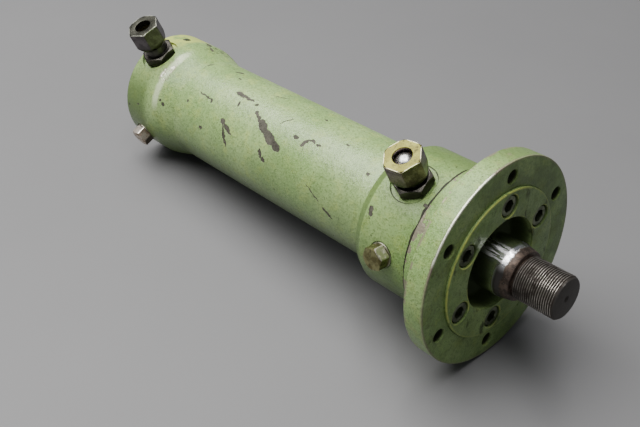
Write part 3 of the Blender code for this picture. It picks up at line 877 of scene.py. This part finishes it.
def cover_bright(finish):
    """The cover's proud outer edge and its recess edge, rubbed bright and stronger on the lit side as a painted
    highlight, and its counterbores, rubbed bright.
    """
    reach = finish.radius()
    front = smooth(finish.z, COVER_HIGH.x - 0.0013, COVER_HIGH.x - 0.0007)
    ragged = finish.noise(160)
    # lit: the side facing the light, where the edges get a painted highlight.
    lit = finish.side(22, 52, 30)
    outer = product(
        smooth(reach, COVER_OUTER - 0.0017, COVER_OUTER - 0.0011),
        smooth(ragged, 0.26, 0.50),
        blend(lit, 0.25, 1.0),
    )
    inner = product(
        band(reach, COVER_RECESS + 0.0005, 0.0004, 0.0004),
        smooth(ragged, 0.48, 0.60),
        blend(lit, 0.2, 0.8),
    )
    bores = product(
        band(finish.nearest_hole(SCREW_CIRCLE), COUNTERBORE + 0.0005, 0.0003, 0.0003),
        smooth(finish.noise(70, 3.0, 0.5), 0.42, 0.58),
        0.8,
    )
    return product(front, highest(outer, inner, bores))


def cover_shade(finish):
    # Painted shade: the face darker, mottled and lighter a quarter turn from the ports, and the recess darker
    # inside.
    face = smooth(finish.z, COVER_HIGH.x - 0.0016, COVER_HIGH.x - 0.0010)
    mottle = smooth(finish.noise(46, 5.0, 0.65), 0.36, 0.64)
    inside = smooth(finish.z, COVER_HIGH.x - 0.001, COVER_HIGH.x - 0.012)
    lower = blend(finish.side(80, 70, 40), 0.95, 0.62)
    return highest(product(face, blend(mottle, 0.36, 0.80), lower), inside)


def cover_dark(finish):
    """Oil on the cover's face, and painted shade in its recess and in the counterbores around its screws."""
    smear = smooth(finish.streaks(40, 95, 60, 5.0, 0.65), 0.56, 0.68)
    depth = smooth(finish.z, COVER_HIGH.x - 0.0012, COVER_HIGH.x - 0.0065)
    wells = smooth(finish.nearest_hole(SCREW_CIRCLE), COUNTERBORE + 0.0002, COUNTERBORE - 0.0003)
    return highest(product(smear, 0.75), product(depth, 0.5), product(wells, 0.92))


def head_dark(finish):
    """A dark line at the joint with the flange, and one around the fitting's spot face."""
    uneven = product(finish.noise(55, 3.0), 0.0052)
    uneven = plus(uneven, product(finish.side(2, 12, 8), 0.0009))
    from_joint = minus(HEAD_SHOULDER, finish.z)
    joint = smooth(minus(from_joint, uneven), -0.0006, -0.0011)
    along = minus(finish.z, FRONT_PORT.translation.x)
    away = distance(along, product(finish.angle(), HEAD_OUTER))
    broken = smooth(finish.noise(60, 3.0, 0.55), 0.36, 0.50)
    return highest(joint, product(band(away, SPOT_FACE, 0.0002, 0.0005), broken, 0.9))


def head_shade(finish):
    # Painted shade on the chamfer, below and on the far top, with the whole head a little darker.
    chamfer = product(smooth(finish.z, CHAMFER_START + 0.0005, CHAMFER_START - 0.001), 0.8)
    return highest(chamfer, underside_shade(finish, HEAD_OUTER), far_top_shade(finish), 0.26)


def cap_round(finish):
    """1 on the cap's round outside, and 0 on its rear end."""
    return smooth(finish.radius(), 0.050, 0.056)


def cap_shade(finish):
    # Painted shade on the cap's round side a quarter turn from the ports, behind the taper, and below.
    behind_taper = smooth(finish.z, CAP_TAPER_END - 0.003, CAP_TAPER_END - 0.018)
    lower = product(finish.side(85, 40, 35), behind_taper, cap_round(finish), 0.8)
    return highest(lower, underside_shade(finish, CAP_OUTER))


def cap_bare(finish):
    """Silver rubs on the taper, on the ports' side."""
    taper = band(finish.z, CAP_TAPER_END + 0.004, 0.0035, 0.0030)
    rubbed = smooth(finish.noise(120), 0.49, 0.57)
    return product(taper, finish.side(8, 10, 8), rubbed)


def cap_bright(finish):
    """Yellow paint showing near the grub screw and at the rim."""
    back = smooth(finish.z, CAP_TAPER_END - 0.010, CAP_TAPER_END - 0.018)
    ragged = smooth(finish.noise(70), 0.34, 0.54)
    return product(finish.side(-42, 30, 12), back, ragged, cap_round(finish))


def cap_dark(finish):
    """Grime in strokes over the taper's far side, and a thin dark edge at the rear."""
    taper = band(finish.z, CAP_TAPER_END + 0.006, 0.007, 0.004)
    strokes = finish.streaks(150, 150, 420, 4.0, 0.6)
    far = product(taper, finish.side(-62, 16, 12), smooth(strokes, 0.50, 0.60))
    rim = product(band(finish.z, CAP_LOW.x + 0.0045, 0.0003, 0.0008), smooth(finish.noise(40), 0.46, 0.58))
    return product(highest(far, rim), 0.8)


def cap_gloss_and_highlight(finish):
    """Glossy, smooth paint on the taper, on the ports' side, paled there as a painted highlight."""
    uneven = product(minus(finish.noise(65), 0.5), 0.007)
    line = band(plus(finish.z, uneven), CAP_TAPER_END + 0.0045, 0.0016, 0.0034)
    return product(line, finish.side(15, 24, 18))


def tube_joint_dark(finish):
    """Darker paint on the tube next to the head, and thin scratches along the tube."""
    front = smooth(finish.z, HEAD_LOW.x - 0.0016, HEAD_LOW.x + 0.0002)
    scratch = finish.streaks(420, 420, 26, 4.0, 0.6)
    lines = product(smooth(scratch, 0.69, 0.73), 0.55)
    return highest(product(front, 0.8), lines)


PAINT_TUBE = painted("paint_tube", TUBE_MARKS, BARREL_OUTER, dark=tube_joint_dark, shade=tube_shade,
                     sheen=0.66)
PAINT_HEAD = painted("paint_head", HEAD_MARKS, HEAD_OUTER, dark=head_dark, shade=head_shade)
PAINT_CAP = painted("paint_cap", CAP_MARKS, CAP_OUTER, bare=cap_bare, bright=cap_bright,
                    dark=cap_dark, shade=cap_shade, gloss_and_highlight=cap_gloss_and_highlight, sheen=0.42)
PAINT_FLANGE = painted("paint_flange", bare=flange_bare_and_highlight, dark=flange_dark, shade=flange_shade)
PAINT_COVER = painted("paint_cover", bright=cover_bright, dark=cover_dark, shade=cover_shade)
ZINC = metal("yellow_zinc", ((0.38, 0.34, 0.15), (0.27, 0.24, 0.10)), (0.24, 0.36), stained=0.55)
ZINC_NUT = nut_metal("zinc_nut", ((0.150, 0.146, 0.040), (0.108, 0.102, 0.029)),
                     ((0.190, 0.145, 0.150), (0.095, 0.070, 0.070)), (0.66, 0.62, 0.42),
                     FRONT_NUT_TOP, FRONT_NUT_TURN)
BLACK_NUT = nut_metal("worn_black_nut", ((0.048, 0.048, 0.038), (0.034, 0.034, 0.026)),
                      ((0.125, 0.110, 0.115), (0.080, 0.070, 0.072)), (0.40, 0.40, 0.34),
                      REAR_NUT_TOP, REAR_NUT_TURN)
ZINC_STAINED = bleed_metal("stained_zinc", ((0.31, 0.30, 0.14), (0.16, 0.145, 0.060)),
                           (0.030, 0.024, 0.006), 30, FRONT_BLEED_TURN, FRONT_BLEED_SPOT)
ZINC_WORN = bleed_metal("worn_zinc", ((0.50, 0.44, 0.36), (0.30, 0.23, 0.16)),
                        (0.12, 0.05, 0.02), 90, REAR_BLEED_TURN, REAR_BLEED_SPOT)
STEEL = metal("machined_steel", ((0.50, 0.50, 0.50), (0.40, 0.39, 0.38)), (0.20, 0.34), stained=0.3)
PLUG_STEEL = metal("bright_steel", ((0.56, 0.56, 0.55), (0.38, 0.38, 0.37)), (0.22, 0.34), stained=0.3)
BLACK = metal("black_steel", ((0.055, 0.052, 0.046), (0.085, 0.080, 0.070)), (0.30, 0.48))
SCREW_STEEL = metal("oily_screw_steel", ((0.20, 0.23, 0.15), (0.12, 0.14, 0.09)), (0.30, 0.46))
IRON = metal("cast_iron", ((0.20, 0.20, 0.20), (0.15, 0.15, 0.15)), (0.5, 0.65))
BRONZE = metal("bronze", ((0.55, 0.38, 0.18), (0.45, 0.30, 0.13)), (0.3, 0.45))
RUBBER = matt("black_rubber", ((0.015, 0.015, 0.015), (0.03, 0.03, 0.03)))
SEAL_PLASTIC = matt("seal_plastic", ((0.04, 0.10, 0.30), (0.06, 0.14, 0.36)))
WEAR_PLASTIC = matt("wear_ring_plastic", ((0.26, 0.15, 0.09), (0.32, 0.20, 0.12)))
BACKUP_PLASTIC = matt("backup_plastic", ((0.80, 0.80, 0.77), (0.70, 0.70, 0.66)))


# Pieces


def port_holes(name, port, spot):
    """Cutters for a port: spot face, hole for the stud and passage."""
    return [
        hole(name + "_spot", SPOT_FACE, spot, spot + 0.02, port),
        hole(name + "_stud", PORT_HOLE, spot - 0.0135, spot + 0.01, port, lip=0.0004, lip_at=spot),
        hole(name + "_passage", PASSAGE, spot - 0.035, spot, port),
    ]


def bleed_holes(name, place, spot):
    return [
        hole(name + "_spot", BLEED_SPOT_FACE, spot, spot + 0.01, place),
        hole(name + "_hole", BLEED_HOLE, spot - 0.014, spot + 0.005, place),
        hole(name + "_passage", 0.0018, spot - 0.035, spot, place),
    ]


def flange():
    outline = [
        (FLANGE_OUTER, FLANGE_HIGH.x, 0.0009),
        (FLANGE_OUTER, FLANGE_BACK, 0.0009),
        (HUB_OUTER, FLANGE_BACK, 0.0005),
        (HUB_OUTER, FLANGE_LOW.x, 0.0008),
        (SPIGOT + GAP, FLANGE_LOW.x, 0),
        (SPIGOT + GAP, COVER_SEAT - GAP, 0),
        (COVER_OUTER + GAP, COVER_SEAT - GAP, 0),
        (COVER_OUTER + GAP, FLANGE_HIGH.x, 0.0003),
    ]
    obj = turned("flange_painted", outline, MAIN)
    low = FLANGE_BACK - 0.01
    face = FLANGE_HIGH.x
    cutters = bolt_holes("flange_hole", FLANGE_HOLE_CIRCLE, FLANGE_HOLE, low, face + 0.004, 0.0005, face)
    combine(obj, cutters)
    stand_for(obj, "mounting_flange", PAINT_FLANGE)


def cover():
    face = COVER_HIGH.x
    seat = COVER_HIGH.x - 0.0085
    outline = [
        (COVER_OUTER, face, 0.0008),
        (COVER_OUTER, COVER_SEAT, 0.0004),
        (COVER_NOSE, COVER_SEAT, 0),
        (COVER_NOSE, COVER_LOW.x, 0.0005),
        (COVER_BORE, COVER_LOW.x, 0),
        (COVER_BORE, -0.027, 0.0008),
        (0.036, -0.024, 0.002),
        (COVER_RECESS, -0.020, 0.002),
        (COVER_RECESS, face, 0.0009),
    ]
    obj = turned("gland_cover_painted", outline, MAIN)
    wide = bolt_holes("counterbore", SCREW_CIRCLE, COUNTERBORE, seat, face + 0.004, 0.0006, face)
    narrow = bolt_holes("clearance", SCREW_CIRCLE, SCREW_CLEARANCE, -0.03, seat + 0.002)
    combine(obj, [cutter for pair in zip(wide, narrow) for cutter in pair])
    stand_for(obj, "gland_cover", PAINT_COVER)


def cover_screws():
    top = COVER_HIGH.x - 0.0012
    seat = top - 0.007
    tip = seat - 0.028
    for number, angle in enumerate(BOLT_ANGLES, start=1):
        centre = Matrix.Translation((*on_circle(angle, SCREW_CIRCLE), 0))
        place = MAIN @ centre @ Matrix.Rotation(number * 1.3, 4, "Z")
        outline = [
            (0, top, 0),
            (SCREW_HEAD, top, 0.0009),
            (SCREW_HEAD, seat, 0.0004),
            (SCREW_SHANK, seat, 0),
            (SCREW_SHANK, tip, 0.0008),
            (0, tip, 0),
        ]
        obj = turned(f"socket_screw_{number}", outline, place, SMALL_STEPS)
        socket = prism("socket", 0.010, top - 0.0045, top + 0.002, place, rounding=0.0002)
        lip = hole("socket_lip", 0.0050, top - 0.0006, top + 0.001, place, lip=0.0004, lip_at=top)
        combine(obj, [socket, lip])
        stand_for(obj, f"cover_screw_{number}", SCREW_STEEL)


def o_ring_groove(front):
    """Corners of the groove around the tube, in the bore of the head or the cap."""
    back = front - GROOVE_WIDTH
    wall = BARREL_OUTER + GAP
    return [(wall, back, 0), (GROOVE_OUTER, back, 0), (GROOVE_OUTER, front, 0), (wall, front, 0)]


def head():
    outline = [
        (SPIGOT, HEAD_HIGH.x, 0.0004),
        (SPIGOT, HEAD_SHOULDER, 0),
        (HEAD_OUTER, HEAD_SHOULDER, 0.0007),
        (HEAD_OUTER, CHAMFER_START, 0.0010),
        (CHAMFER_RIM, HEAD_LOW.x, 0.0012),
        (BARREL_OUTER + GAP, HEAD_LOW.x, 0),
        *o_ring_groove(HEAD_GROOVE),
        (BARREL_OUTER + GAP, BARREL_HIGH.x + GAP, 0),
        (HEAD_BORE, BARREL_HIGH.x + GAP, 0),
        (HEAD_BORE, HEAD_STEP, 0),
        (COVER_NOSE + GAP, HEAD_STEP, 0),
        (COVER_NOSE + GAP, HEAD_HIGH.x, 0),
    ]
    obj = turned("head_painted", outline, MAIN)
    cutters = port_holes("front_port", FRONT_PORT, FRONT_SPOT)
    cutters += bleed_holes("front_bleed", FRONT_BLEED, FRONT_BLEED_SPOT)
    cutters += bolt_holes("tapped", SCREW_CIRCLE, SCREW_SHANK + GAP, TAPPED_FLOOR, 0.0)
    combine(obj, cutters)
    stand_for(obj, "front_head", PAINT_HEAD)


def tube():
    outline = [
        (BARREL_OUTER, BARREL_HIGH.x, 0),
        (BARREL_OUTER, BARREL_LOW.x, 0),
        (BORE, BARREL_LOW.x, 0),
        (BORE, BARREL_HIGH.x, 0),
    ]
    obj = turned("tube_painted", outline, MAIN)
    stand_for(obj, "barrel_tube", PAINT_TUBE)


def cap():
    """The rear cap. Its paint runs on over the joint, so it closes on the tube without a step."""
    outline = [
        (0, CAP_FLOOR, 0),
        (CAP_CAVITY, CAP_FLOOR, 0),
        (CAP_CAVITY, BARREL_LOW.x - GAP, 0),
        (BARREL_OUTER + GAP, BARREL_LOW.x - GAP, 0),
        *o_ring_groove(CAP_GROOVE),
        (BARREL_OUTER + GAP, CAP_HIGH.x - 0.0030, 0),
        (BARREL_OUTER - GAP, CAP_HIGH.x - 0.0010, 0),
        (BARREL_OUTER - GAP, CAP_HIGH.x, 0),
        (CAP_KNEE_OUTER, CAP_KNEE, 0.0040),
        (CAP_OUTER, CAP_TAPER_END, 0.0045),
        (CAP_OUTER, CAP_LOW.x + 0.005, 0.0015),
        (CAP_END_OUTER, CAP_LOW.x, 0.0010),
        (0, CAP_LOW.x, 0),
    ]
    obj = turned("cap_painted", outline, MAIN)
    cutters = port_holes("rear_port", REAR_PORT, REAR_SPOT)
    cutters += bleed_holes("rear_bleed", REAR_BLEED, REAR_BLEED_SPOT)
    cutters.append(hole("grub_hole", 0.0043, CAP_OUTER - 0.0096, CAP_OUTER + 0.01, GRUB))
    combine(obj, cutters)
    stand_for(obj, "rear_cap", PAINT_CAP)


def thread_relief(radius, height, angle):
    """The radius of the rod's thread, as a helix that fades out at both ends."""
    if not THREAD_START < height < ROD_HIGH.x - 0.0004 or radius < THREAD_RADIUS - 0.0017:
        return radius
    phase = ((height - THREAD_START) / THREAD_PITCH - angle / math.tau) % 1.0
    tooth = min(1.0, abs(2 * phase - 1) * 1.18)
    ends = min(height - THREAD_START, ROD_HIGH.x - 0.0004 - height)
    return min(radius, THREAD_RADIUS - THREAD_DEPTH * (1 - tooth) * min(1.0, ends / 0.0015))


def rod():
    """The rod with its spigot, undercut, helical thread and centre hole."""
    end = ROD_HIGH.x
    first = end - 0.0017
    step = THREAD_PITCH / 10
    count = int((first - 0.0001 - THREAD_START) / step)
    outline = [
        (0, end - 0.0035, 0),
        (0.0025, end - 0.0004, 0),
        (0.0029, end, 0),
        (THREAD_RADIUS - 0.0018, end, 0),
        (THREAD_RADIUS - 0.0016, end - 0.0001, 0),
        *((THREAD_RADIUS, first - i * step, 0) for i in range(count)),
        (THREAD_RADIUS - 0.0010, 0.0268, 0),
        (THREAD_RADIUS - 0.0013, 0.0262, 0),
        (THREAD_RADIUS - 0.0013, 0.0252, 0),
        (0.0214, 0.0250, 0),
        (0.0218, 0.0246, 0),
        (0.0230, 0.0180, 0.0012),
        (ROD, 0.0140, 0.0012),
        (ROD, ROD_SHOULDER, 0.0004),
        (ROD_SPIGOT, ROD_SHOULDER, 0),
        (ROD_SPIGOT, ROD_LOW.x, 0.001),
        (0, ROD_LOW.x, 0),
    ]
    mesh = turned_mesh("rod_chromed", rounded(outline), THREAD_STEPS, thread_relief)
    obj = placed("rod_chromed", mesh, MAIN)
    stand_for(obj, "piston_rod", chromed_rod(), "rod", 40)


def hex_piece(name, outline, flats, place, turn):
    """A turned piece whose outside is cut to a hexagon."""
    obj = turned(name, outline, place, SMALL_STEPS)
    heights = [point[1] for point in outline]
    tool = prism(name + "_flats", flats, min(heights) - 0.01, max(heights) + 0.01, place, turn)
    combine(obj, [tool], "INTERSECT")
    return obj


def fitting(prefix, port, spot, nut_top, nut_turn, nut_finish):
    """A cone fitting: sealing ring, body and union nut."""
    seal_low = spot + GAP
    seal_high = seal_low + 0.0017
    outline = [
        (SEAL_OUTER, seal_high, 0.0004),
        (SEAL_OUTER, seal_low, 0.0004),
        (PORT_HOLE, seal_low, 0.0003),
        (PORT_HOLE, seal_high, 0.0003),
    ]
    obj = turned(prefix + "_sealing_ring", outline, port, SMALL_STEPS)
    stand_for(obj, prefix + "_port_seal", BLACK)

    hex_low = seal_high + GAP
    hex_high = hex_low + BODY_HEX
    nut_low = nut_top - NUT_LENGTH
    body_top = nut_low + 0.011
    stud_end = spot - 0.0125
    corner = BODY_FLATS / math.sqrt(3)
    outline = [
        (BODY_NECK, body_top, 0.0006),
        (BODY_NECK, hex_high, 0.0003),
        (BODY_FLATS / 2 * 0.96, hex_high, 0.0003),
        (corner, hex_high - 0.0017, 0),
        (corner, hex_low + 0.0006, 0),
        (corner - 0.0010, hex_low, 0),
        (BODY_STUD, hex_low, 0),
        (BODY_STUD, stud_end, 0.0008),
        (PASSAGE, stud_end, 0),
        (PASSAGE, body_top, 0.0005),
    ]
    obj = hex_piece(prefix + "_body", outline, BODY_FLATS, port, BODY_TURN)
    stand_for(obj, prefix + "_fitting_body", BLACK)

    corner = NUT_FLATS / math.sqrt(3)
    outline = [
        (corner - 0.0016, nut_top, 0.0003),
        (corner, nut_top - 0.0011, 0),
        (corner, nut_low + 0.0060, 0),
        (NUT_FOOT, nut_low, 0.0004),
        (NUT_BORE, nut_low, 0),
        (NUT_BORE, nut_low + 0.015, 0),
        (NUT_HOLE, nut_low + 0.0191, 0.0004),
        (NUT_HOLE, nut_top, 0.0007),
    ]
    obj = hex_piece(prefix + "_nut", outline, NUT_FLATS, port, nut_turn)
    stand_for(obj, prefix + "_union_nut", nut_finish, prefix + "_nut")


def plug():
    """The round-nosed plug in the front nut."""
    nut_low = FRONT_NUT_TOP - NUT_LENGTH
    dome_low = nut_low + 0.017
    shoulder = nut_low + 0.0114
    tail = shoulder - 0.008
    lifts = [math.radians(90 - 90 * i / 16) for i in range(1, 17)]
    outline = [
        (0, dome_low + PLUG_DOME, 0),
        *((PLUG * math.cos(lift), dome_low + PLUG_DOME * math.sin(lift), 0) for lift in lifts),
        (PLUG, shoulder, 0),
        (PLUG_TAIL, shoulder, 0),
        (PLUG_TAIL, tail, 0),
        (0, tail, 0),
    ]
    obj = turned("plug_dome", outline, FRONT_PORT, SMALL_STEPS)
    stand_for(obj, "front_blanking_plug", PLUG_STEEL, "front_cone")


def bleed_screw(prefix, place, spot, turn, finish):
    washer_low = spot + GAP
    washer_high = washer_low + 0.0015
    outline = [
        (WASHER_OUTER, washer_high, 0.0004),
        (WASHER_OUTER, washer_low, 0.0003),
        (BLEED_HOLE, washer_low, 0),
        (BLEED_HOLE, washer_high, 0),
    ]
    obj = turned(prefix + "_washer", outline, place, SMALL_STEPS)
    stand_for(obj, prefix + "_bleed_washer", finish)
    low = washer_high + GAP
    high = low + BLEED_HEAD
    corner = BLEED_FLATS / math.sqrt(3)
    outline = [
        (0, high, 0),
        (BLEED_FLATS / 2 * 0.93, high, 0.0003),
        (corner, high - 0.0014, 0),
        (corner, low, 0),
        (0.005, low, 0),
        (0.005, spot - 0.011, 0),
        (0.003, spot - 0.013, 0),
        (0, spot - 0.013, 0),
    ]
    obj = hex_piece(prefix + "_screw", outline, BLEED_FLATS, place, turn)
    stand_for(obj, prefix + "_bleed_screw", finish, prefix + "_bleed")


def grub_screw():
    top = CAP_OUTER - GAP
    low = top - GRUB_LENGTH
    outline = [(0, top, 0), (GRUB_RADIUS, top, 0.0005), (GRUB_RADIUS, low, 0.0004), (0, low, 0)]
    obj = turned("grub_screw", outline, GRUB, SMALL_STEPS)
    combine(obj, [prism("grub_socket", 0.004, top - 0.003, top + 0.002, GRUB, rounding=0.0001)])
    stand_for(obj, "rear_grub_screw", PLUG_STEEL)


FINISH_OF_SLOT = {
    "green_paint": PAINT_HEAD,
    "chrome": STEEL,
    "machined_steel": STEEL,
    "black_steel": BLACK,
    "zinc_steel": ZINC,
    "cast_iron": IRON,
    "bronze": BRONZE,
    "black_rubber": RUBBER,
    "seal_plastic": SEAL_PLASTIC,
    "wear_ring_plastic": WEAR_PLASTIC,
    "backup_plastic": BACKUP_PLASTIC,
}


def dress_inner_nodes():
    """The pieces inside keep their CAD shape and get their slot's finish."""
    for part in frame["record"]["subparts"]:
        obj = frame["nodes"][part["node"]]
        if obj.hide_render:
            continue
        paint_over(obj, FINISH_OF_SLOT[part["material_slot"]])


# Stage


def stage():
    """A plain pale floor, on which the flange and the rear cap rest, and soft lights."""
    rise = math.atan2(FLOOR_REAR[1] - FLOOR_FRONT[1], FLOOR_FRONT[0] - FLOOR_REAR[0])
    mesh = bpy.data.meshes.new("floor")
    shape = bmesh.new()
    bmesh.ops.create_circle(shape, cap_ends=True, segments=96, radius=5.0)
    shape.to_mesh(mesh)
    shape.free()
    corner = Matrix.Translation((FLOOR_FRONT[0], 0, FLOOR_FRONT[1] - 0.0002))
    floor = placed("floor", mesh, corner @ Matrix.Rotation(rise, 4, "Y"))
    finish = Finish("floor")
    cloud = finish.noise(3.0)
    colour = mix(cloud, (0.138, 0.138, 0.142), (0.160, 0.160, 0.164))
    mesh.materials.append(finish.done(colour, 0.55, 0.0))

    world = bpy.data.worlds.new("studio")
    bpy.context.scene.world = world
    world.use_nodes = True
    background = world.node_tree.nodes["Background"]
    background.inputs["Color"].default_value = (0.95, 0.97, 1.0, 1)
    background.inputs["Strength"].default_value = 0.19

    area_light("overhead", (-0.90, -0.40, 2.2), (-0.18, 0, 0), (2.8, 2.2), 158, (1.0, 0.99, 0.97))
    area_light("strip", (0.12, -0.12, 1.2), (0, 0, 0), (0.14, 0.9), 5, (1.0, 1.0, 1.0))


def area_light(name, place, target, size, power, colour):
    light = bpy.data.lights.new(name, "AREA")
    light.shape = "RECTANGLE"
    light.size, light.size_y = size
    light.energy = power
    light.color = colour
    obj = bpy.data.objects.new(name, light)
    obj.location = place
    obj.rotation_euler = (Vector(target) - Vector(place)).to_track_quat("-Z", "Y").to_euler()
    bpy.context.scene.collection.objects.link(obj)


def camera():
    data = bpy.data.cameras.new("camera")
    data.lens = CAMERA_LENS
    obj = bpy.data.objects.new("camera", data)
    obj.location = CAMERA_PLACE
    obj.rotation_euler = [math.radians(turn) for turn in CAMERA_TURN]
    bpy.context.scene.collection.objects.link(obj)
    bpy.context.scene.camera = obj


camera()
stage()
flange()
cover()
cover_screws()
head()
tube()
cap()
rod()
fitting("front", FRONT_PORT, FRONT_SPOT, FRONT_NUT_TOP, FRONT_NUT_TURN, ZINC_NUT)
fitting("rear", REAR_PORT, REAR_SPOT, REAR_NUT_TOP, REAR_NUT_TURN, BLACK_NUT)
plug()
bleed_screw("front", FRONT_BLEED, FRONT_BLEED_SPOT, FRONT_BLEED_TURN, ZINC_STAINED)
bleed_screw("rear", REAR_BLEED, REAR_BLEED_SPOT, REAR_BLEED_TURN, ZINC_WORN)
grub_screw()
dress_inner_nodes()
